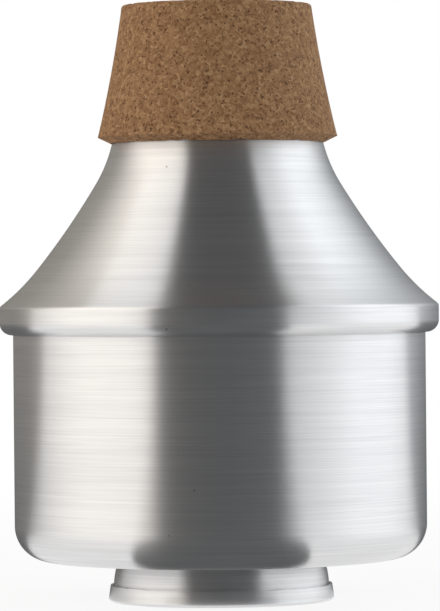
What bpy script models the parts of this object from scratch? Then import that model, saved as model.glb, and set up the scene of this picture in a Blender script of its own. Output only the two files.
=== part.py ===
"""Trumpet wah-wah mute: two spun aluminium shells locked together at a bead, a cork ring
round the neck, and a stem with a small cup that slides in and out of the bottom.

Metres, +Z up, towards the cork. The origin is the centre of the stem cup's rim, on which the
mute stands. Every piece is turned about Z, and the levels stack upwards from the rim.
"""

import math

import bpy

# Sheet, gaps and facets
BODY_SHEET = 0.0008
CUP_SHEET = 0.0006
TUBE_WALL = 0.0008
SEAT_GAP = 0.0003
SLIDE_CLEARANCE = 0.0001
BODY_SEGMENTS = 48
CUP_SEGMENTS = 40
TUBE_SEGMENTS = 28
SHARP_ANGLE = math.radians(35)
MERGE_DISTANCE = 0.00001

# Stem cup, a spun dome with its rim folded out and up as a hem
CUP_HEIGHT = 0.0190
CUP_RADIUS = 0.02575
CUP_SPRING_HEIGHT = 0.0025
HEM_HEIGHT = 0.0038
HEM_FOLD_WIDTH = 0.00055
HEM_FOLD_RADIUS = 0.00015
HEM_MOUTH_WIDTH = 0.00015

# Stem tube, and the guide tube with the friction sleeve that it slides in
STEM_RADIUS = 0.0098
STEM_RISE = 0.0770
STEM_LIP_WIDTH = 0.0028
GUIDE_RISE = 0.0360
GUIDE_LIP_WIDTH = 0.0022
SWAGE_HOLLOW_RADIUS = 0.0003
SLEEVE_LENGTH = 0.0240
SLEEVE_SETBACK = 0.0010

# Bowl shell, with the round well that the cup nests in when the stem is in
RIM_STANDOUT = 0.0099
BOWL_RADIUS = 0.0492
BOWL_HEIGHT = 0.0538
BOWL_CORNER_RADIUS = 0.0083
NEST_CLEARANCE = 0.0011
WELL_LIP_RADIUS = 0.0020
WELL_CORNER_RADIUS = 0.0040

# Bead, in which the cone's edge is rolled round the bowl's flange
BEAD_PROUD = 0.00322
BEAD_FACE_HEIGHT = 0.0032
BEAD_CORNER_HOLLOW_RADIUS = 0.0003

# Cone shell from the neck down: slope from the vertical, what each arc adds to it, and the arcs' radii
NECK_RADIUS = 0.02522
NECK_ANGLE = math.radians(13.8)
NECK_ARC_RADIUS = 0.3180
SHOULDER_TURN = math.radians(17.3)
SHOULDER_ARC_RADIUS = 0.0346
CONE_TURN = math.radians(7.6)
SKIRT_TURN = math.radians(13.5)
SKIRT_ARC_RADIUS = 0.0520

# Cork ring round the neck
CORK_HEIGHT = 0.0330
CORK_WALL = 0.00365
CORK_UNDERCUT = 0.0015
CORK_EDGE_RADIUS = 0.0008
CORK_OVERHANG = 0.0006

# Radii that follow from what fits in what
SWAGE_RADIUS = TUBE_WALL + SWAGE_HOLLOW_RADIUS
SLEEVE_BORE = STEM_RADIUS + SLIDE_CLEARANCE
GUIDE_BORE = STEM_RADIUS + SWAGE_RADIUS + SEAT_GAP
GUIDE_RADIUS = GUIDE_BORE + TUBE_WALL
CUP_LAND_RADIUS = GUIDE_RADIUS + GUIDE_LIP_WIDTH + SEAT_GAP
WELL_RADIUS = CUP_RADIUS + NEST_CLEARANCE
BEAD_RADIUS = BOWL_RADIUS + BEAD_PROUD
BEAD_CORNER_RADIUS = BODY_SHEET + BEAD_CORNER_HOLLOW_RADIUS
BEAD_CURL_RADIUS = BEAD_PROUD - SEAT_GAP
FLANGE_CURL_RADIUS = BEAD_CURL_RADIUS - BODY_SHEET - SEAT_GAP

# Levels that follow, from the rim upwards
CUP_CEILING = CUP_HEIGHT - CUP_SHEET
GUIDE_FOOT = CUP_HEIGHT + SEAT_GAP
WELL_CEILING = GUIDE_FOOT + TUBE_WALL + SEAT_GAP
WELL_FLOOR_TOP = WELL_CEILING + BODY_SHEET
BEAD_FOOT = RIM_STANDOUT + BOWL_HEIGHT
BEAD_FACE_FOOT = BEAD_FOOT + BEAD_CURL_RADIUS
BEAD_FACE_TOP = BEAD_FACE_FOOT + BEAD_FACE_HEIGHT


def arc(centre, radius, start, end, steps):
    """Points of a round stretch, as (radius from the axis, height), with angles from +X in degrees."""
    points = []
    for step in range(steps + 1):
        angle = math.radians(start + (end - start) * step / steps)
        points.append((centre[0] + radius * math.cos(angle), centre[1] + radius * math.sin(angle)))
    return points


def bend(start, radius, slope, end_slope, steps):
    """Points of an arc that runs down and out from start, while its slope from the vertical changes."""
    turn = radius if end_slope > slope else -radius
    points = []
    for step in range(steps + 1):
        angle = slope + (end_slope - slope) * step / steps
        out = turn * (math.cos(slope) - math.cos(angle))
        down = turn * (math.sin(angle) - math.sin(slope))
        points.append((start[0] + out, start[1] - down))
    return points


def flare_path():
    """The cone's outside from the cork's foot to the bead's face: shoulder, long cone, skirt and corner."""
    shoulder_slope = NECK_ANGLE + SHOULDER_TURN
    cone_slope = shoulder_slope + CONE_TURN
    skirt_slope = cone_slope + SKIRT_TURN
    shoulder_reach = SHOULDER_ARC_RADIUS * (math.cos(NECK_ANGLE) - math.cos(shoulder_slope))
    skirt_reach = SKIRT_ARC_RADIUS * (math.cos(cone_slope) - math.cos(skirt_slope))
    corner_reach = BEAD_CORNER_RADIUS * (1.0 - math.cos(skirt_slope))
    cone_reach = BEAD_RADIUS - NECK_RADIUS - shoulder_reach - skirt_reach - corner_reach
    cone_arc_radius = cone_reach / (math.cos(shoulder_slope) - math.cos(cone_slope))
    shoulder = bend((NECK_RADIUS, 0.0), SHOULDER_ARC_RADIUS, NECK_ANGLE, shoulder_slope, 4)
    cone = bend(shoulder[-1], cone_arc_radius, shoulder_slope, cone_slope, 3)
    skirt = bend(cone[-1], SKIRT_ARC_RADIUS, cone_slope, skirt_slope, 3)
    corner = bend(skirt[-1], BEAD_CORNER_RADIUS, skirt_slope, 0.0, 3)
    path = shoulder + cone[1:] + skirt[1:] + corner[1:]
    rise = BEAD_FACE_TOP - path[-1][1]
    return [(radius, height + rise) for radius, height in path]


FLARE = flare_path()
CORK_FOOT = FLARE[0][1]
CORK_TOP = CORK_FOOT + CORK_HEIGHT
MOUTH_TOP = CORK_TOP - CORK_OVERHANG


def neck_point(height, standoff=0.0):
    """A point beside the neck at this height, standing off square to the neck's gentle arc."""
    slope = math.asin(math.sin(NECK_ANGLE) - (height - CORK_FOOT) / NECK_ARC_RADIUS)
    radius = NECK_RADIUS - NECK_ARC_RADIUS * (math.cos(slope) - math.cos(NECK_ANGLE))
    return radius + standoff / math.cos(slope), height


def heights(top, bottom, steps):
    """Evenly spaced heights from top to bottom, both included."""
    return [top + (bottom - top) * step / steps for step in range(steps + 1)]


def swage(radius, foot):
    """The half-round bead pressed out of a tube, from its top down to its foot."""
    return arc((radius, foot + SWAGE_RADIUS), SWAGE_RADIUS, 90, -90, 4)


def flared_end(radius, edge, lip_width):
    """A tube's foot turned out under the edge of the hole that it passes through, out to its lip."""
    fold = arc((radius + SEAT_GAP, edge), SEAT_GAP, 180, 270, 2)
    return fold + [(radius + lip_width, edge - SEAT_GAP)]


def cone_outline():
    """Outside of the cone: mouth, neck, flare, bead, and the edge curled in under the bowl's flange."""
    neck = [neck_point(height) for height in heights(MOUTH_TOP, CORK_FOOT, 4)]
    curl_centre = (BEAD_RADIUS - BEAD_CURL_RADIUS, BEAD_FACE_FOOT)
    return neck[:-1] + FLARE + arc(curl_centre, BEAD_CURL_RADIUS, 0, -90, 4)


def bowl_outline():
    """Outside of the bowl: flange curled up in the bead, wall, bottom, and the well up to its hole."""
    curl_centre = (BEAD_RADIUS - BEAD_CURL_RADIUS, BEAD_FACE_FOOT)
    flange = arc(curl_centre, FLANGE_CURL_RADIUS, 0, -90, 3)
    wall_top = (BOWL_RADIUS, flange[-1][1] - SEAT_GAP)
    corner_centre = (BOWL_RADIUS - BOWL_CORNER_RADIUS, RIM_STANDOUT + BOWL_CORNER_RADIUS)
    corner = arc(corner_centre, BOWL_CORNER_RADIUS, 0, -90, 6)
    lip_centre = (WELL_RADIUS + WELL_LIP_RADIUS, RIM_STANDOUT + WELL_LIP_RADIUS)
    lip = arc(lip_centre, WELL_LIP_RADIUS, -90, -180, 3)
    well_centre = (WELL_RADIUS - WELL_CORNER_RADIUS, WELL_CEILING - WELL_CORNER_RADIUS)
    well = arc(well_centre, WELL_CORNER_RADIUS, 0, 90, 4)
    hole_edge = (GUIDE_RADIUS + SEAT_GAP, WELL_CEILING)
    return flange + [wall_top] + corner + lip + well + [hole_edge]


def cork_outline():
    """The cork's whole section: top face, tapered side, undercut foot, and the bore round the neck."""
    side_top = CORK_TOP - CORK_EDGE_RADIUS
    side = [neck_point(height, CORK_WALL) for height in heights(side_top, CORK_FOOT + CORK_UNDERCUT, 4)]
    edge = arc((side[0][0] - CORK_EDGE_RADIUS, side_top), CORK_EDGE_RADIUS, 90, 0, 2)
    bore = [neck_point(height, SEAT_GAP) for height in heights(CORK_FOOT, CORK_TOP, 4)]
    return edge + side[1:] + bore


def guide_outline():
    """Outside of the guide tube, swaged above the well's floor and flared out below it."""
    top = (GUIDE_RADIUS, WELL_FLOOR_TOP + GUIDE_RISE)
    upper_swage = swage(GUIDE_RADIUS, WELL_FLOOR_TOP + SEAT_GAP)
    return [top] + upper_swage + flared_end(GUIDE_RADIUS, WELL_CEILING, GUIDE_LIP_WIDTH)


def sleeve_outline():
    """The friction sleeve's whole section: a plain cork tube glued in the guide's bore."""
    outside = GUIDE_BORE - SEAT_GAP
    foot = GUIDE_FOOT + 2 * SWAGE_RADIUS + SLEEVE_SETBACK
    top = foot + SLEEVE_LENGTH
    return [(SLEEVE_BORE, top), (outside, top), (outside, foot), (SLEEVE_BORE, foot)]


def stem_outline():
    """Outside of the stem tube, swaged above the cup's crown and flared out below it."""
    top = (STEM_RADIUS, CUP_HEIGHT + STEM_RISE)
    crown_swage = swage(STEM_RADIUS, GUIDE_FOOT)
    return [top] + crown_swage + flared_end(STEM_RADIUS, CUP_CEILING, STEM_LIP_WIDTH)


def dome_radius(height):
    """The cup's outside radius at this height of its elliptic side."""
    rise = (height - CUP_SPRING_HEIGHT) / (CUP_HEIGHT - CUP_SPRING_HEIGHT)
    return CUP_LAND_RADIUS + (CUP_RADIUS - CUP_LAND_RADIUS) * math.sqrt(1.0 - rise * rise)


def cup_outline():
    """Outside of the cup: flat crown, elliptic side, and the rim folded out and up as a hem."""
    crown_edge = (STEM_RADIUS + SEAT_GAP, CUP_HEIGHT)
    side_run = CUP_RADIUS - CUP_LAND_RADIUS
    side_rise = CUP_HEIGHT - CUP_SPRING_HEIGHT
    side = []
    for out, up in arc((0.0, 0.0), 1.0, 90, 0, 8):
        side.append((CUP_LAND_RADIUS + side_run * out, CUP_SPRING_HEIGHT + side_rise * up))
    fold_height = CUP_SHEET + HEM_FOLD_RADIUS
    inner_fold = arc((CUP_RADIUS + HEM_FOLD_RADIUS, fold_height), HEM_FOLD_RADIUS, 180, 270, 2)
    outer_fold = arc((CUP_RADIUS + HEM_FOLD_WIDTH - HEM_FOLD_RADIUS, fold_height), HEM_FOLD_RADIUS, 270, 360, 2)
    hem_edge = (dome_radius(HEM_HEIGHT) + HEM_MOUTH_WIDTH, HEM_HEIGHT)
    return [crown_edge] + side + inner_fold + outer_fold + [hem_edge]


def make_material(name, colour, metallic, roughness):
    material = bpy.data.materials.new(name)
    material.use_nodes = True
    shader = material.node_tree.nodes["Principled BSDF"]
    shader.inputs["Base Color"].default_value = (*colour, 1.0)
    shader.inputs["Metallic"].default_value = metallic
    shader.inputs["Roughness"].default_value = roughness
    return material


def turned(name, outline, segments, material, wall=0.0):
    """A round piece, its outline swept once about Z. Sheet is drawn by its outside and gets its wall inside."""
    profile = bpy.data.meshes.new(name)
    points = [(radius, 0.0, height) for radius, height in outline]
    edges = [(index, index + 1) for index in range(len(points) - 1)]
    if not wall:
        edges.append((len(points) - 1, 0))
    profile.from_pydata(points, edges, [])
    piece = bpy.data.objects.new(name, profile)
    parts.objects.link(piece)
    screw = piece.modifiers.new("Turn", "SCREW")
    screw.axis = "Z"
    screw.angle = math.tau
    screw.steps = segments
    screw.render_steps = segments
    screw.use_merge_vertices = True
    screw.merge_threshold = MERGE_DISTANCE
    if wall:
        sheet = piece.modifiers.new("Sheet", "SOLIDIFY")
        sheet.thickness = wall
        sheet.offset = -1.0
        sheet.use_even_offset = True
        sheet.use_quality_normals = True
    graph = bpy.context.evaluated_depsgraph_get()
    solid = bpy.data.meshes.new_from_object(piece.evaluated_get(graph))
    piece.modifiers.clear()
    piece.data = solid
    bpy.data.meshes.remove(profile)
    solid.shade_smooth()
    solid.set_sharp_from_angle(angle=SHARP_ANGLE)
    solid.materials.append(material)
    return piece


def make_frame(name, height, pieces):
    """An empty on the axis that carries the pieces of one rigid body."""
    frame = bpy.data.objects.new(name, None)
    frame.empty_display_size = STEM_RADIUS
    frame.location = (0.0, 0.0, height)
    parts.objects.link(frame)
    bpy.context.view_layer.update()
    for piece in pieces:
        piece.parent = frame
        piece.matrix_parent_inverse = frame.matrix_world.inverted()


for old in list(bpy.data.objects):
    bpy.data.objects.remove(old, do_unlink=True)

parts = bpy.data.collections.new("wah_wah_mute")
bpy.context.scene.collection.children.link(parts)

satin_aluminium = make_material("satin_aluminium", (0.62, 0.63, 0.64), 1.0, 0.32)
drawn_aluminium = make_material("drawn_aluminium", (0.66, 0.67, 0.68), 1.0, 0.25)
ground_cork = make_material("ground_cork", (0.38, 0.22, 0.13), 0.0, 0.85)

cone_shell = turned("cone_shell", cone_outline(), BODY_SEGMENTS, satin_aluminium, BODY_SHEET)
bowl_shell = turned("bowl_shell", bowl_outline(), BODY_SEGMENTS, satin_aluminium, BODY_SHEET)
cork_ring = turned("cork_ring", cork_outline(), BODY_SEGMENTS, ground_cork)
guide_tube = turned("guide_tube", guide_outline(), TUBE_SEGMENTS, drawn_aluminium, TUBE_WALL)
friction_sleeve = turned("friction_sleeve", sleeve_outline(), TUBE_SEGMENTS, ground_cork)
stem_tube = turned("stem_tube", stem_outline(), TUBE_SEGMENTS, drawn_aluminium, TUBE_WALL)
stem_cup = turned("stem_cup", cup_outline(), CUP_SEGMENTS, satin_aluminium, CUP_SHEET)

make_frame("mute_body_frame", BEAD_FOOT, [cone_shell, bowl_shell, cork_ring, guide_tube, friction_sleeve])
make_frame("stem_frame", CUP_HEIGHT, [stem_tube, stem_cup])
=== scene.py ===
"""Looks of the trumpet wah-wah mute: spun satin aluminium shells, ground cork and the sliding stem.

Lengths are in metres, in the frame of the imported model. Every visible piece is turned again here
as a finer mesh from the same sizes as its solid, and gets its finish, grooves, pits and chips.
"""

import math

import bpy
import numpy as np
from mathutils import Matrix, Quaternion, Vector, noise


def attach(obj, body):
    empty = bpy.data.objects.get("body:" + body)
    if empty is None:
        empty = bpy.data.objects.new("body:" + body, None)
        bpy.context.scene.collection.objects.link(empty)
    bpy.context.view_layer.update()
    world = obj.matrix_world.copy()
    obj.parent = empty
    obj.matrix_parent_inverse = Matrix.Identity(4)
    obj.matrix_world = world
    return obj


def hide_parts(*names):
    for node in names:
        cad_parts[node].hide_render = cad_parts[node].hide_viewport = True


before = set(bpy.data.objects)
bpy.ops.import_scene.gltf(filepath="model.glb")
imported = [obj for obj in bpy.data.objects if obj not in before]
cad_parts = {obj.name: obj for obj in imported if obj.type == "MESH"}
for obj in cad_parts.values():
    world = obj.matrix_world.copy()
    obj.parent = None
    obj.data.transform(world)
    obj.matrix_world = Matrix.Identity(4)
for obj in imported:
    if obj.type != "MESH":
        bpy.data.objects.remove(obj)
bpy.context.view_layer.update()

# Sheet, gaps and fineness of the turned meshes
BODY_SHEET = 0.0008
CUP_SHEET = 0.0006
TUBE_WALL = 0.0008
SEAT_GAP = 0.0003
SLIDE_CLEARANCE = 0.0001
METAL_SEGMENTS = 240
CORK_SEGMENTS = 400
ARC_STEP = math.radians(4)
ARC_LEAST_STEPS = 4
BEND_STEPS = 10
NECK_ROW = 0.002
CORK_ROW = 0.0005
SHARP_ANGLE = math.radians(35)
MERGE_DISTANCE = 0.000005

# Stem cup
CUP_HEIGHT = 0.0190
CUP_RADIUS = 0.02575
CUP_SPRING_HEIGHT = 0.0025
HEM_HEIGHT = 0.0038
HEM_FOLD_WIDTH = 0.00055
HEM_FOLD_RADIUS = 0.00015
HEM_MOUTH_WIDTH = 0.00015

# Stem tube, guide tube and friction sleeve
STEM_RADIUS = 0.0098
STEM_RISE = 0.0770
STEM_LIP_WIDTH = 0.0028
GUIDE_RISE = 0.0360
GUIDE_LIP_WIDTH = 0.0022
SWAGE_HOLLOW_RADIUS = 0.0003
SLEEVE_LENGTH = 0.0240
SLEEVE_SETBACK = 0.0010

# Bowl shell
RIM_STANDOUT = 0.0099
BOWL_RADIUS = 0.0492
BOWL_HEIGHT = 0.0538
BOWL_CORNER_RADIUS = 0.0083
NEST_CLEARANCE = 0.0011
WELL_LIP_RADIUS = 0.0020
WELL_CORNER_RADIUS = 0.0040

# Bead
BEAD_PROUD = 0.00322
BEAD_FACE_HEIGHT = 0.0032
BEAD_CORNER_HOLLOW_RADIUS = 0.0003

# Cone shell
NECK_RADIUS = 0.02522
NECK_ANGLE = math.radians(13.8)
NECK_ARC_RADIUS = 0.3180
SHOULDER_TURN = math.radians(17.3)
SHOULDER_ARC_RADIUS = 0.0346
CONE_TURN = math.radians(7.6)
SKIRT_TURN = math.radians(13.5)
SKIRT_ARC_RADIUS = 0.0520

# Cork ring
CORK_HEIGHT = 0.0330
CORK_WALL = 0.00365
CORK_UNDERCUT = 0.0015
CORK_EDGE_RADIUS = 0.0008
CORK_OVERHANG = 0.0006

# Grain, pits and chipped edges pressed into the cork: depths, then noise scales a metre and levels
GRAIN_DEPTH = 0.00006
PIT_DEPTH = 0.00035
CHIP_DEPTH = 0.0007
CHIP_REACH = 0.0012
GRAIN_SCALE = 900.0
PIT_SCALE = 420.0
CHIP_SCALE = 330.0
PIT_LEVEL = 0.42
CHIP_LEVEL = 0.12

# Wander of the hem's free edge, and the heights that it is looked for in, as shares of the hem
HEM_RAG = 0.00016
HEM_RAG_SCALE = 230.0
HEM_FINE_SCALE = 1100.0
HEM_FINE_SHARE = 0.5
HEM_EDGE_FROM = 0.9
HEM_EDGE_TO = 1.2

# Brushed metal: (around, across, detail) of its grooves and of the broader bands of tone
GROOVES = (38.0, 5200.0, 3.0)
TONE_BANDS = (9.0, 620.0, 2.0)
GROOVE_SHARE = 0.65
BAND_SHARE = 0.35
TONE_DULL_AT = 0.30
TONE_PALE_AT = 0.68
SMUDGE_SCALE = 45.0
SMUDGE_DETAIL = 4.0
SMUDGE_SHARE = 0.3
UNEVEN_LOW = 0.3
UNEVEN_HIGH = 0.7
ANISOTROPY = 0.95
BRUSH_TURN = 0.25
GROOVE_DEPTH = 0.00002
SPECK_CELLS = 170.0
SPECK_SIZE = 0.05
SPECK_RARITY = 0.90
SPECK_GREY = (0.50, 0.49, 0.48)
SATIN = {"pale": (0.86, 0.86, 0.86), "dull": (0.70, 0.70, 0.71), "smooth": 0.26, "rough": 0.40, "groove": 0.5}
DRAWN = {"pale": (0.84, 0.84, 0.85), "dull": (0.74, 0.74, 0.75), "smooth": 0.20, "rough": 0.32, "groove": 0.3}

# Granulated cork: warped cells of two sizes, dark crumbs and a fine grain
CORK_BROWNS = [
    (0.10, (0.241, 0.116, 0.051)),
    (0.35, (0.338, 0.179, 0.084)),
    (0.62, (0.405, 0.226, 0.111)),
    (0.92, (0.530, 0.324, 0.173)),
]
WARP_SCALE = 700.0
WARP_DETAIL = 2.0
WARP_REACH = 0.0009
GRANULE_SCALE = 1050.0
FINE_GRANULE_SCALE = 2300.0
GRANULE_SHARE = 0.55
FINE_GRANULE_SHARE = 0.45
CRUMB_LEVEL = 0.93
CRUMB_STRENGTH = 0.7
CRUMB_BROWN = (0.075, 0.028, 0.014)
CUT_SCALE = 2600.0
CUT_DETAIL = 3.0
CUT_LOW = 0.3
CUT_HIGH = 0.7
CUT_DARKEST = 0.86
CUT_LIGHTEST = 1.12
CORK_LEAST_ROUGH = 0.72
CORK_MOST_ROUGH = 0.95
CORK_SPECULAR = 0.25
CORK_JOINT_SINK = -0.6
CORK_CUT_RISE = 0.5
CORK_BUMP = 0.5
CORK_BUMP_DEPTH = 0.00025

# Studio: a warm panel on the left, a cool one on the right, and dark cloth before, behind and overhead.
# Azimuths are in degrees round the mute, 0 towards the camera and 90 to the right.
ROOM = 2.0
ROOM_HEIGHT = 2.6
AZIMUTH_STEP = 3
WARM = (1.0, 0.940, 0.855)
COOL = (0.940, 0.975, 1.0)
DARK = (0.96, 0.98, 1.0)
CLOTH = 0.135
DEEP_CLOTH = 0.10
CLOTH_LIFT = 0.0005
CLOTH_START = 0.0285
FRONT_HALF = 33
BACK_FROM = 123
BACK_TO = 249
ARCH_LEFT = 0.68
ARCH_RIGHT = 0.76
ARCH_TAPER = 0.0044
ARCH_STEP = 5
ARCH_END = 150
LEFT_LEVELS = [
    (-180, 0.24), (-132, 0.40), (-111, 0.74), (-96, 1.30), (-81, 1.50),
    (-48, 1.42), (-39, 1.10), (-33, 0.20), (0, CLOTH),
]
RIGHT_LEVELS = [
    (0, CLOTH), (30, 0.16), (39, 0.42), (48, 0.62), (60, 0.88), (81, 1.42),
    (108, 1.46), (132, 0.84), (150, 0.44), (165, 0.30), (180, 0.24),
]

# Floor and backdrop: the floor's own tone, and its glow to the camera, which fades up to white far off
FLOOR_REACH = 8.0
FLOOR_TONE = 0.88
FLOOR_ROUGHNESS = 0.9
FLOOR_SPECULAR = 0.1
FLOOR_GLOW = 0.90
FADE_START = 0.05
FADE_END = 0.60
AMBIENT = 0.60

# Camera: the photograph's scale at the mute's axis, its lens, its horizon and its lean
PIXEL = 0.0002388
FOCAL_PIXELS = 4400.0
IMAGE_WIDTH = 440
IMAGE_HEIGHT = 611
SENSOR_WIDTH = 36.0
HORIZON_ROW = 275.0
RIM_ROW = 600.0
AXIS_COLUMN = 219.0
LEAN = math.radians(0.51)
CLIP_START = 0.05
CLIP_END = 30.0

# What fits in what
SWAGE_RADIUS = TUBE_WALL + SWAGE_HOLLOW_RADIUS
SLEEVE_BORE = STEM_RADIUS + SLIDE_CLEARANCE
GUIDE_BORE = STEM_RADIUS + SWAGE_RADIUS + SEAT_GAP
GUIDE_RADIUS = GUIDE_BORE + TUBE_WALL
CUP_LAND_RADIUS = GUIDE_RADIUS + GUIDE_LIP_WIDTH + SEAT_GAP
WELL_RADIUS = CUP_RADIUS + NEST_CLEARANCE
BEAD_RADIUS = BOWL_RADIUS + BEAD_PROUD
BEAD_CORNER_RADIUS = BODY_SHEET + BEAD_CORNER_HOLLOW_RADIUS
BEAD_CURL_RADIUS = BEAD_PROUD - SEAT_GAP
FLANGE_CURL_RADIUS = BEAD_CURL_RADIUS - BODY_SHEET - SEAT_GAP
CUP_CEILING = CUP_HEIGHT - CUP_SHEET
GUIDE_FOOT = CUP_HEIGHT + SEAT_GAP
WELL_CEILING = GUIDE_FOOT + TUBE_WALL + SEAT_GAP
WELL_FLOOR_TOP = WELL_CEILING + BODY_SHEET
BEAD_FOOT = RIM_STANDOUT + BOWL_HEIGHT
BEAD_FACE_FOOT = BEAD_FOOT + BEAD_CURL_RADIUS
BEAD_FACE_TOP = BEAD_FACE_FOOT + BEAD_FACE_HEIGHT
BEAD_CURL_CENTRE = (BEAD_RADIUS - BEAD_CURL_RADIUS, BEAD_FACE_FOOT)


# Outlines, as (radius from the axis, height)
def arc(centre, radius, start, end):
    """Points of a round stretch, with angles from +X in degrees."""
    steps = max(ARC_LEAST_STEPS, math.ceil(abs(math.radians(end - start)) / ARC_STEP))
    points = []
    for step in range(steps + 1):
        angle = math.radians(start + (end - start) * step / steps)
        points.append((centre[0] + radius * math.cos(angle), centre[1] + radius * math.sin(angle)))
    return points


def bend(start, radius, slope, end_slope):
    """Points of an arc that runs down and out from start, while its slope from the vertical changes."""
    turn = radius if end_slope > slope else -radius
    points = []
    for step in range(BEND_STEPS + 1):
        angle = slope + (end_slope - slope) * step / BEND_STEPS
        out = turn * (math.cos(slope) - math.cos(angle))
        down = turn * (math.sin(angle) - math.sin(slope))
        points.append((start[0] + out, start[1] - down))
    return points


def flare_path():
    """The cone's outside from the cork's foot to the bead's face: shoulder, long cone, skirt and corner."""
    shoulder_slope = NECK_ANGLE + SHOULDER_TURN
    cone_slope = shoulder_slope + CONE_TURN
    skirt_slope = cone_slope + SKIRT_TURN
    shoulder_reach = SHOULDER_ARC_RADIUS * (math.cos(NECK_ANGLE) - math.cos(shoulder_slope))
    skirt_reach = SKIRT_ARC_RADIUS * (math.cos(cone_slope) - math.cos(skirt_slope))
    corner_reach = BEAD_CORNER_RADIUS * (1.0 - math.cos(skirt_slope))
    cone_reach = BEAD_RADIUS - NECK_RADIUS - shoulder_reach - skirt_reach - corner_reach
    cone_arc_radius = cone_reach / (math.cos(shoulder_slope) - math.cos(cone_slope))
    shoulder = bend((NECK_RADIUS, 0.0), SHOULDER_ARC_RADIUS, NECK_ANGLE, shoulder_slope)
    cone = bend(shoulder[-1], cone_arc_radius, shoulder_slope, cone_slope)
    skirt = bend(cone[-1], SKIRT_ARC_RADIUS, cone_slope, skirt_slope)
    corner = bend(skirt[-1], BEAD_CORNER_RADIUS, skirt_slope, 0.0)
    path = shoulder + cone[1:] + skirt[1:] + corner[1:]
    rise = BEAD_FACE_TOP - path[-1][1]
    return [(radius, height + rise) for radius, height in path]


FLARE = flare_path()
CORK_FOOT = FLARE[0][1]
CORK_TOP = CORK_FOOT + CORK_HEIGHT
MOUTH_TOP = CORK_TOP - CORK_OVERHANG


def neck_point(height, standoff=0.0):
    """A point beside the neck at this height, standing off square to the neck's gentle arc."""
    slope = math.asin(math.sin(NECK_ANGLE) - (height - CORK_FOOT) / NECK_ARC_RADIUS)
    radius = NECK_RADIUS - NECK_ARC_RADIUS * (math.cos(slope) - math.cos(NECK_ANGLE))
    return radius + standoff / math.cos(slope), height


def heights(top, bottom, row=NECK_ROW):
    """Evenly spaced heights from top to bottom, both included, about a row apart."""
    count = max(1, round(abs(top - bottom) / row))
    return [top + (bottom - top) * index / count for index in range(count + 1)]


def between(start, end):
    """Points strictly between two ends, about a cork row apart."""
    count = max(1, round(math.dist(start, end) / CORK_ROW))
    points = []
    for index in range(1, count):
        share = index / count
        points.append((start[0] + (end[0] - start[0]) * share, start[1] + (end[1] - start[1]) * share))
    return points


def swage(radius, foot):
    """The half-round bead pressed out of a tube, from its top down to its foot."""
    return arc((radius, foot + SWAGE_RADIUS), SWAGE_RADIUS, 90, -90)


def flared_end(radius, edge, lip_width):
    """A tube's foot turned out under the edge of the hole that it passes through, out to its lip."""
    fold = arc((radius + SEAT_GAP, edge), SEAT_GAP, 180, 270)
    return fold + [(radius + lip_width, edge - SEAT_GAP)]


def cone_outline():
    neck = [neck_point(height) for height in heights(MOUTH_TOP, CORK_FOOT)]
    return neck[:-1] + FLARE + arc(BEAD_CURL_CENTRE, BEAD_CURL_RADIUS, 0, -90)


def bowl_outline():
    flange = arc(BEAD_CURL_CENTRE, FLANGE_CURL_RADIUS, 0, -90)
    wall_top = (BOWL_RADIUS, flange[-1][1] - SEAT_GAP)
    corner_centre = (BOWL_RADIUS - BOWL_CORNER_RADIUS, RIM_STANDOUT + BOWL_CORNER_RADIUS)
    corner = arc(corner_centre, BOWL_CORNER_RADIUS, 0, -90)
    lip_centre = (WELL_RADIUS + WELL_LIP_RADIUS, RIM_STANDOUT + WELL_LIP_RADIUS)
    lip = arc(lip_centre, WELL_LIP_RADIUS, -90, -180)
    well_centre = (WELL_RADIUS - WELL_CORNER_RADIUS, WELL_CEILING - WELL_CORNER_RADIUS)
    well = arc(well_centre, WELL_CORNER_RADIUS, 0, 90)
    return flange + [wall_top] + corner + lip + well + [(GUIDE_RADIUS + SEAT_GAP, WELL_CEILING)]


def cork_outline():
    """The cork's whole section in short rows, so that pits and chips can be pressed into it."""
    side_top = CORK_TOP - CORK_EDGE_RADIUS
    side_foot = CORK_FOOT + CORK_UNDERCUT
    side = [neck_point(height, CORK_WALL) for height in heights(side_top, side_foot, CORK_ROW)]
    edge = arc((side[0][0] - CORK_EDGE_RADIUS, side_top), CORK_EDGE_RADIUS, 90, 0)
    bore = [neck_point(height, SEAT_GAP) for height in heights(CORK_FOOT, CORK_TOP)]
    foot = between(side[-1], bore[0])
    top = between(bore[-1], edge[0])
    return edge + side[1:] + foot + bore + top


def guide_outline():
    top = (GUIDE_RADIUS, WELL_FLOOR_TOP + GUIDE_RISE)
    upper_swage = swage(GUIDE_RADIUS, WELL_FLOOR_TOP + SEAT_GAP)
    return [top] + upper_swage + flared_end(GUIDE_RADIUS, WELL_CEILING, GUIDE_LIP_WIDTH)


def sleeve_outline():
    outside = GUIDE_BORE - SEAT_GAP
    foot = GUIDE_FOOT + 2 * SWAGE_RADIUS + SLEEVE_SETBACK
    top = foot + SLEEVE_LENGTH
    return [(SLEEVE_BORE, top), (outside, top), (outside, foot), (SLEEVE_BORE, foot)]


def stem_outline():
    top = (STEM_RADIUS, CUP_HEIGHT + STEM_RISE)
    crown_swage = swage(STEM_RADIUS, GUIDE_FOOT)
    return [top] + crown_swage + flared_end(STEM_RADIUS, CUP_CEILING, STEM_LIP_WIDTH)


def dome_radius(height):
    """The cup's outside radius at this height of its elliptic side."""
    rise = (height - CUP_SPRING_HEIGHT) / (CUP_HEIGHT - CUP_SPRING_HEIGHT)
    return CUP_LAND_RADIUS + (CUP_RADIUS - CUP_LAND_RADIUS) * math.sqrt(1.0 - rise * rise)


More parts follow.
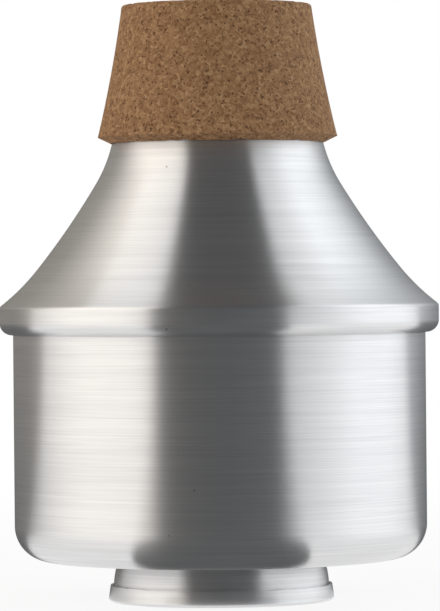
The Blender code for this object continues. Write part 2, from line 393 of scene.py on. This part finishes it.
def cup_outline():
    side_run = CUP_RADIUS - CUP_LAND_RADIUS
    side_rise = CUP_HEIGHT - CUP_SPRING_HEIGHT
    side = []
    for out, up in arc((0.0, 0.0), 1.0, 90, 0):
        side.append((CUP_LAND_RADIUS + side_run * out, CUP_SPRING_HEIGHT + side_rise * up))
    fold_height = CUP_SHEET + HEM_FOLD_RADIUS
    inner_fold = arc((CUP_RADIUS + HEM_FOLD_RADIUS, fold_height), HEM_FOLD_RADIUS, 180, 270)
    outer_centre = (CUP_RADIUS + HEM_FOLD_WIDTH - HEM_FOLD_RADIUS, fold_height)
    outer_fold = arc(outer_centre, HEM_FOLD_RADIUS, 270, 360)
    hem_edge = (dome_radius(HEM_HEIGHT) + HEM_MOUTH_WIDTH, HEM_HEIGHT)
    return [(STEM_RADIUS + SEAT_GAP, CUP_HEIGHT)] + side + inner_fold + outer_fold + [hem_edge]


# Meshes
def placed(name, data):
    """A new object of this mesh or camera, linked to the scene."""
    new_object = bpy.data.objects.new(name, data)
    bpy.context.scene.collection.objects.link(new_object)
    return new_object


def turned(name, outline, segments, wall):
    """A round piece, its outline swept once about Z. Sheet is drawn by its outside, with its wall inside.

    With no wall the outline is closed, and is the piece's whole section.
    """
    profile = bpy.data.meshes.new(name)
    points = [(radius, 0.0, height) for radius, height in outline]
    edges = [(index, index + 1) for index in range(len(points) - 1)]
    if not wall:
        edges.append((len(points) - 1, 0))
    profile.from_pydata(points, edges, [])
    piece = placed(name, profile)
    screw = piece.modifiers.new("Turn", "SCREW")
    screw.axis = "Z"
    screw.angle = math.tau
    screw.steps = segments
    screw.render_steps = segments
    screw.use_merge_vertices = True
    screw.merge_threshold = MERGE_DISTANCE
    if wall:
        sheet = piece.modifiers.new("Sheet", "SOLIDIFY")
        sheet.thickness = wall
        sheet.offset = -1.0
        sheet.use_even_offset = True
        sheet.use_quality_normals = True
    graph = bpy.context.evaluated_depsgraph_get()
    solid = bpy.data.meshes.new_from_object(piece.evaluated_get(graph))
    piece.modifiers.clear()
    piece.data = solid
    solid.shade_smooth()
    solid.set_sharp_from_angle(angle=SHARP_ANGLE)
    return piece


def surface_arrays(mesh):
    """The mesh's points and normals, as two arrays of three columns."""
    count = len(mesh.vertices)
    points = np.empty(count * 3, np.float32)
    normals = np.empty(count * 3, np.float32)
    mesh.vertices.foreach_get("co", points)
    mesh.vertex_normals.foreach_get("vector", normals)
    return points.reshape(-1, 3), normals.reshape(-1, 3)


def roughen_cork(piece):
    """Presses the grain, small pits and chipped edges of ground cork into the mesh, never outwards."""
    points, normals = surface_arrays(piece.data)
    depths = np.empty(len(points), np.float32)
    for index, point in enumerate(points):
        place = Vector(point)
        grain = (noise.noise(place * GRAIN_SCALE) + 1.0) / 2.0
        pit = max(0.0, noise.noise(place * PIT_SCALE) - PIT_LEVEL)
        edge = min(abs(place.z - CORK_TOP), abs(place.z - CORK_FOOT))
        near = max(0.0, 1.0 - edge / CHIP_REACH)
        chip = max(0.0, noise.noise(place * CHIP_SCALE) - CHIP_LEVEL) * near
        depths[index] = GRAIN_DEPTH * grain + PIT_DEPTH * pit + CHIP_DEPTH * chip
    points -= normals * depths[:, None]
    piece.data.vertices.foreach_set("co", points.ravel())
    piece.data.update()


def rag_hem(piece):
    """Makes the folded hem's free edge wander a little, as a spun and folded rim does."""
    points = surface_arrays(piece.data)[0]
    for index, point in enumerate(points):
        radius = math.hypot(point[0], point[1])
        on_hem = HEM_HEIGHT * HEM_EDGE_FROM < point[2] < HEM_HEIGHT * HEM_EDGE_TO
        if on_hem and radius > dome_radius(point[2]) + HEM_MOUTH_WIDTH / 2:
            place = Vector(point)
            fine = HEM_FINE_SHARE * noise.noise(place * HEM_FINE_SCALE)
            points[index, 2] += HEM_RAG * (noise.noise(place * HEM_RAG_SCALE) + fine)
    piece.data.vertices.foreach_set("co", points.ravel())
    piece.data.update()


# Shader nodes
def new_material(name):
    """A material with its node tree and its Principled shader."""
    material = bpy.data.materials.new(name)
    material.use_nodes = True
    return material, material.node_tree, material.node_tree.nodes["Principled BSDF"]


def wire(tree, source, target):
    tree.links.new(source, target)


def object_place(tree):
    return tree.nodes.new("ShaderNodeTexCoord").outputs["Object"]


def math_node(tree, operation, first, second=None):
    """A Math node whose inputs are sockets or numbers. It returns its output."""
    node = tree.nodes.new("ShaderNodeMath")
    node.operation = operation
    for socket, value in zip(node.inputs, (first, second)):
        if isinstance(value, bpy.types.NodeSocket):
            wire(tree, value, socket)
        elif value is not None:
            socket.default_value = value
    return node.outputs[0]


def shared_sum(tree, first, first_share, second, second_share):
    """The sum of two values, each times its share."""
    first_part = math_node(tree, "MULTIPLY", first, first_share)
    second_part = math_node(tree, "MULTIPLY", second, second_share)
    return math_node(tree, "ADD", first_part, second_part)


def ramp(tree, factor, stops):
    """A Color Ramp with (position, colour) stops."""
    node = tree.nodes.new("ShaderNodeValToRGB")
    elements = node.color_ramp.elements
    while len(elements) < len(stops):
        elements.new(0.5)
    for element, (position, colour) in zip(elements, stops):
        element.position = position
        element.color = (*colour, 1.0)
    wire(tree, factor, node.inputs["Fac"])
    return node.outputs["Color"]


def map_range(tree, value, low, high, to_low, to_high):
    node = tree.nodes.new("ShaderNodeMapRange")
    wire(tree, value, node.inputs["Value"])
    for name, number in (("From Min", low), ("From Max", high), ("To Min", to_low), ("To Max", to_high)):
        node.inputs[name].default_value = number
    return node.outputs["Result"]


def mix_colour(tree, factor, base, colour):
    """The base colour, turned to a plain colour where the factor is 1."""
    node = tree.nodes.new("ShaderNodeMix")
    node.data_type = "RGBA"
    wire(tree, factor, node.inputs["Factor"])
    wire(tree, base, node.inputs["A"])
    node.inputs["B"].default_value = (*colour, 1.0)
    return node.outputs["Result"]


def noise_at(tree, place, scale, detail):
    """The outputs of a Noise texture."""
    texture = tree.nodes.new("ShaderNodeTexNoise")
    texture.inputs["Scale"].default_value = scale
    texture.inputs["Detail"].default_value = detail
    wire(tree, place, texture.inputs["Vector"])
    return texture.outputs


def turned_noise(tree, around, across, detail):
    """Noise drawn out round the axis, at one scale a metre along the grooves and another across them."""
    apart = tree.nodes.new("ShaderNodeSeparateXYZ")
    wire(tree, object_place(tree), apart.inputs[0])
    x_square = math_node(tree, "POWER", apart.outputs["X"], 2.0)
    y_square = math_node(tree, "POWER", apart.outputs["Y"], 2.0)
    radius = math_node(tree, "SQRT", math_node(tree, "ADD", x_square, y_square))
    scaled = tree.nodes.new("ShaderNodeCombineXYZ")
    for axis, scale in (("X", around), ("Y", around), ("Z", across)):
        wire(tree, math_node(tree, "MULTIPLY", apart.outputs[axis], scale), scaled.inputs[axis])
    texture = tree.nodes.new("ShaderNodeTexNoise")
    texture.noise_dimensions = "4D"
    texture.inputs["Scale"].default_value = 1.0
    texture.inputs["Detail"].default_value = detail
    wire(tree, scaled.outputs[0], texture.inputs["Vector"])
    wire(tree, math_node(tree, "MULTIPLY", radius, across), texture.inputs["W"])
    return texture.outputs["Fac"]


def cells_at(tree, place, scale):
    """Voronoi cells: the distance from each cell's point, and the parts of the cell's random colour."""
    cells = tree.nodes.new("ShaderNodeTexVoronoi")
    cells.inputs["Scale"].default_value = scale
    wire(tree, place, cells.inputs["Vector"])
    parts = tree.nodes.new("ShaderNodeSeparateColor")
    wire(tree, cells.outputs["Color"], parts.inputs[0])
    return cells.outputs["Distance"], parts.outputs


def add_bump(tree, shader, height, strength, distance):
    bump = tree.nodes.new("ShaderNodeBump")
    bump.inputs["Strength"].default_value = strength
    bump.inputs["Distance"].default_value = distance
    wire(tree, height, bump.inputs["Height"])
    wire(tree, bump.outputs[0], shader.inputs["Normal"])


def seen_directly(tree):
    """1 for camera, glossy and transmission rays, 0 for the rest."""
    path = tree.nodes.new("ShaderNodeLightPath")
    both = math_node(tree, "MAXIMUM", path.outputs["Is Camera Ray"], path.outputs["Is Glossy Ray"])
    return math_node(tree, "MAXIMUM", both, path.outputs["Is Transmission Ray"])


# Materials
def brushed_metal(name, pale, dull, smooth, rough, groove):
    """Aluminium finished in the lathe: grooves round the axis, bands of tone, smudges and a few specks."""
    material, tree, shader = new_material(name)
    fine = turned_noise(tree, *GROOVES)
    bands = turned_noise(tree, *TONE_BANDS)
    place = object_place(tree)
    tone = shared_sum(tree, fine, GROOVE_SHARE, bands, BAND_SHARE)
    metal = ramp(tree, tone, [(TONE_DULL_AT, dull), (TONE_PALE_AT, pale)])
    distance, parts = cells_at(tree, place, SPECK_CELLS)
    near = math_node(tree, "LESS_THAN", distance, SPECK_SIZE)
    rare = math_node(tree, "GREATER_THAN", parts["Red"], SPECK_RARITY)
    speck = math_node(tree, "MULTIPLY", near, rare)
    wire(tree, mix_colour(tree, speck, metal, SPECK_GREY), shader.inputs["Base Color"])
    smudge = noise_at(tree, place, SMUDGE_SCALE, SMUDGE_DETAIL)["Fac"]
    uneven = shared_sum(tree, tone, 1.0 - SMUDGE_SHARE, smudge, SMUDGE_SHARE)
    wire(tree, map_range(tree, uneven, UNEVEN_LOW, UNEVEN_HIGH, rough, smooth), shader.inputs["Roughness"])
    shader.inputs["Metallic"].default_value = 1.0
    shader.inputs["Anisotropic"].default_value = ANISOTROPY
    shader.inputs["Anisotropic Rotation"].default_value = BRUSH_TURN
    tangent = tree.nodes.new("ShaderNodeTangent")
    tangent.direction_type = "RADIAL"
    tangent.axis = "Z"
    wire(tree, tangent.outputs[0], shader.inputs["Tangent"])
    add_bump(tree, shader, fine, groove, GROOVE_DEPTH)
    return material


def granulated_cork(name):
    """Cork granules pressed with glue: cells of many browns, dark crumbs, a fine grain and tight joints."""
    material, tree, shader = new_material(name)
    place = object_place(tree)
    shift = tree.nodes.new("ShaderNodeVectorMath")
    shift.operation = "MULTIPLY_ADD"
    wire(tree, noise_at(tree, place, WARP_SCALE, WARP_DETAIL)["Color"], shift.inputs[0])
    shift.inputs[1].default_value = (WARP_REACH, WARP_REACH, WARP_REACH)
    wire(tree, place, shift.inputs[2])
    distance, granules = cells_at(tree, shift.outputs[0], GRANULE_SCALE)
    fine_granules = cells_at(tree, shift.outputs[0], FINE_GRANULE_SCALE)[1]
    tone = shared_sum(tree, granules["Red"], GRANULE_SHARE, fine_granules["Red"], FINE_GRANULE_SHARE)
    brown = ramp(tree, tone, CORK_BROWNS)
    crumb = math_node(tree, "GREATER_THAN", fine_granules["Green"], CRUMB_LEVEL)
    with_crumbs = mix_colour(tree, math_node(tree, "MULTIPLY", crumb, CRUMB_STRENGTH), brown, CRUMB_BROWN)
    cut = noise_at(tree, place, CUT_SCALE, CUT_DETAIL)["Fac"]
    bright = tree.nodes.new("ShaderNodeVectorMath")
    bright.operation = "SCALE"
    wire(tree, with_crumbs, bright.inputs[0])
    wire(tree, map_range(tree, cut, CUT_LOW, CUT_HIGH, CUT_DARKEST, CUT_LIGHTEST), bright.inputs["Scale"])
    wire(tree, bright.outputs[0], shader.inputs["Base Color"])
    roughness = map_range(tree, granules["Red"], 0.0, 1.0, CORK_LEAST_ROUGH, CORK_MOST_ROUGH)
    wire(tree, roughness, shader.inputs["Roughness"])
    shader.inputs["Specular IOR Level"].default_value = CORK_SPECULAR
    height = shared_sum(tree, distance, CORK_JOINT_SINK, cut, CORK_CUT_RISE)
    add_bump(tree, shader, height, CORK_BUMP, CORK_BUMP_DEPTH)
    return material


def glow_material(name, colour, glow=None):
    """An even emitter, or one whose strength is read from the card's own glow."""
    material, tree, shader = new_material(name)
    tree.nodes.remove(shader)
    light = tree.nodes.new("ShaderNodeEmission")
    light.inputs["Color"].default_value = (*colour, 1.0)
    if glow:
        attribute = tree.nodes.new("ShaderNodeAttribute")
        attribute.attribute_name = glow
        wire(tree, attribute.outputs["Fac"], light.inputs["Strength"])
    wire(tree, light.outputs[0], tree.nodes["Material Output"].inputs["Surface"])
    return material


def pale_floor():
    """Pale matt floor that keeps the mute's shadow and fades to the white backdrop further off."""
    material, tree, shader = new_material("pale_floor")
    shader.inputs["Base Color"].default_value = (FLOOR_TONE, FLOOR_TONE, FLOOR_TONE, 1.0)
    shader.inputs["Roughness"].default_value = FLOOR_ROUGHNESS
    shader.inputs["Specular IOR Level"].default_value = FLOOR_SPECULAR
    white = tree.nodes.new("ShaderNodeEmission")
    length = tree.nodes.new("ShaderNodeVectorMath")
    length.operation = "LENGTH"
    wire(tree, object_place(tree), length.inputs[0])
    far = map_range(tree, length.outputs["Value"], FADE_START, FADE_END, FLOOR_GLOW, 1.0)
    mix = tree.nodes.new("ShaderNodeMixShader")
    wire(tree, math_node(tree, "MULTIPLY", far, seen_directly(tree)), mix.inputs["Fac"])
    wire(tree, shader.outputs[0], mix.inputs[1])
    wire(tree, white.outputs[0], mix.inputs[2])
    wire(tree, mix.outputs[0], tree.nodes["Material Output"].inputs["Surface"])
    return material


# The mute's pieces
FINISHES = {
    "satin_aluminium": brushed_metal("satin_aluminium", **SATIN),
    "drawn_aluminium": brushed_metal("drawn_aluminium", **DRAWN),
    "ground_cork": granulated_cork("ground_cork"),
}
WORKED = {"cork_ground": roughen_cork, "cup_spun": rag_hem}
PIECES = [
    ("cone_spun", cone_outline(), METAL_SEGMENTS, BODY_SHEET,
     "satin_aluminium", "cone_shell", "mute_body"),
    ("bowl_spun", bowl_outline(), METAL_SEGMENTS, BODY_SHEET,
     "satin_aluminium", "bowl_shell", "mute_body"),
    ("cork_ground", cork_outline(), CORK_SEGMENTS, 0.0,
     "ground_cork", "cork_ring", "mute_body"),
    ("guide_drawn", guide_outline(), METAL_SEGMENTS, TUBE_WALL,
     "drawn_aluminium", "guide_tube", "mute_body"),
    ("sleeve_cork", sleeve_outline(), METAL_SEGMENTS, 0.0,
     "ground_cork", "friction_sleeve", "mute_body"),
    ("stem_drawn", stem_outline(), METAL_SEGMENTS, TUBE_WALL,
     "drawn_aluminium", "stem_tube", "stem"),
    ("cup_spun", cup_outline(), METAL_SEGMENTS, CUP_SHEET,
     "satin_aluminium", "stem_cup", "stem"),
]

for name, outline, segments, wall, slot, node, body in PIECES:
    piece = turned(name, outline, segments, wall)
    piece.data.materials.append(FINISHES[slot])
    if name in WORKED:
        WORKED[name](piece)
    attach(piece, body)
    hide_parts(node)


# The studio round the mute
def studio_card(name, rows, material, glows=None, lights=False):
    """A card through rows of points. Glossy rays see it, diffuse rays only if it lights, the camera never."""
    width = len(rows[0])
    points = [point for row in rows for point in row]
    faces = []
    for row in range(len(rows) - 1):
        for column in range(width - 1):
            first = row * width + column
            faces.append((first, first + 1, first + width + 1, first + width))
    mesh = bpy.data.meshes.new(name)
    mesh.from_pydata(points, [], faces)
    if glows:
        levels = [level for level in glows for point in range(width)]
        mesh.attributes.new("glow", "FLOAT", "POINT").data.foreach_set("value", levels)
    mesh.materials.append(material)
    card = placed(name, mesh)
    card.visible_camera = False
    card.visible_shadow = False
    card.visible_diffuse = lights
    card.visible_transmission = False


def round_the_mute(start, end, section):
    """Rows of points where a (distance, height) section is swept from one azimuth to another."""
    rows = []
    for azimuth in range(start, end + 1, AZIMUTH_STEP):
        angle = math.radians(azimuth)
        right, back = math.sin(angle), -math.cos(angle)
        rows.append([(reach * right, reach * back, height) for reach, height in section])
    return rows


def level_at(azimuth, levels):
    """The studio wall's level at this azimuth, between the levels given."""
    for (first, low), (second, high) in zip(levels, levels[1:]):
        if azimuth <= second:
            return low + (high - low) * (azimuth - first) / (second - first)
    return levels[-1][1]


def side_wall(name, start, end, levels, tint):
    """A curved wall whose glow follows its levels, and which lights the mute."""
    glows = [level_at(azimuth, levels) for azimuth in range(start, end + 1, AZIMUTH_STEP)]
    rows = round_the_mute(start, end, [(ROOM, 0.0), (ROOM, ROOM_HEIGHT)])
    studio_card(name, rows, glow_material(name, tint, "glow"), glows, lights=True)


def overhead_rows():
    """Rows of an arch from behind the mute over its top, that narrows as it rises."""
    rows = []
    for lift in range(0, ARCH_END + 1, ARCH_STEP):
        angle = math.radians(lift)
        back = -ROOM * math.cos(angle)
        up = ROOM * math.sin(angle)
        left = -ROOM * (ARCH_LEFT - ARCH_TAPER * lift)
        right = ROOM * (ARCH_RIGHT - ARCH_TAPER * lift)
        rows.append([(left, back, up), (right, back, up)])
    return rows


side_wall("left_wall", -180, 0, LEFT_LEVELS, WARM)
side_wall("right_wall", 0, 180, RIGHT_LEVELS, COOL)
dark_cloth = glow_material("dark_cloth", tuple(CLOTH * part for part in DARK))
deep_cloth = glow_material("deep_cloth", tuple(DEEP_CLOTH * part for part in DARK))
ground = [(CLOTH_START, CLOTH_LIFT), (ROOM, CLOTH_LIFT)]
studio_card("front_cloth", round_the_mute(-FRONT_HALF, FRONT_HALF, ground), dark_cloth)
studio_card("back_cloth", round_the_mute(BACK_FROM, BACK_TO, ground), dark_cloth)
studio_card("overhead_cloth", overhead_rows(), deep_cloth)

corners = [(-1, -1), (1, -1), (1, 1), (-1, 1)]
floor_mesh = bpy.data.meshes.new("floor")
floor_mesh.from_pydata([(FLOOR_REACH * x, FLOOR_REACH * y, 0.0) for x, y in corners], [], [(0, 1, 2, 3)])
floor_mesh.materials.append(pale_floor())
floor = placed("floor", floor_mesh)

world = bpy.data.worlds.new("white_backdrop")
bpy.context.scene.world = world
world.use_nodes = True
backdrop = world.node_tree.nodes["Background"]
backdrop.inputs["Color"].default_value = (1.0, 1.0, 1.0, 1.0)
strength = map_range(world.node_tree, seen_directly(world.node_tree), 0.0, 1.0, AMBIENT, 1.0)
wire(world.node_tree, strength, backdrop.inputs["Strength"])

# Camera, level with a little lean, looking at the middle of the photograph's frame
camera_data = bpy.data.cameras.new("camera")
camera_data.sensor_width = SENSOR_WIDTH
camera_data.lens = SENSOR_WIDTH * FOCAL_PIXELS / IMAGE_HEIGHT
camera_data.clip_start = CLIP_START
camera_data.clip_end = CLIP_END
camera = placed("camera", camera_data)
side = (IMAGE_WIDTH / 2 - AXIS_COLUMN) * PIXEL
camera.location = (side, -FOCAL_PIXELS * PIXEL, (RIM_ROW - HORIZON_ROW) * PIXEL)
aim = Vector((side, 0.0, (RIM_ROW - IMAGE_HEIGHT / 2) * PIXEL))
camera.rotation_mode = "QUATERNION"
lean = Quaternion((0.0, 0.0, 1.0), -LEAN)
camera.rotation_quaternion = (aim - camera.location).to_track_quat("-Z", "Y") @ lean
bpy.context.scene.camera = camera
bpy.context.scene.view_settings.view_transform = "Standard"
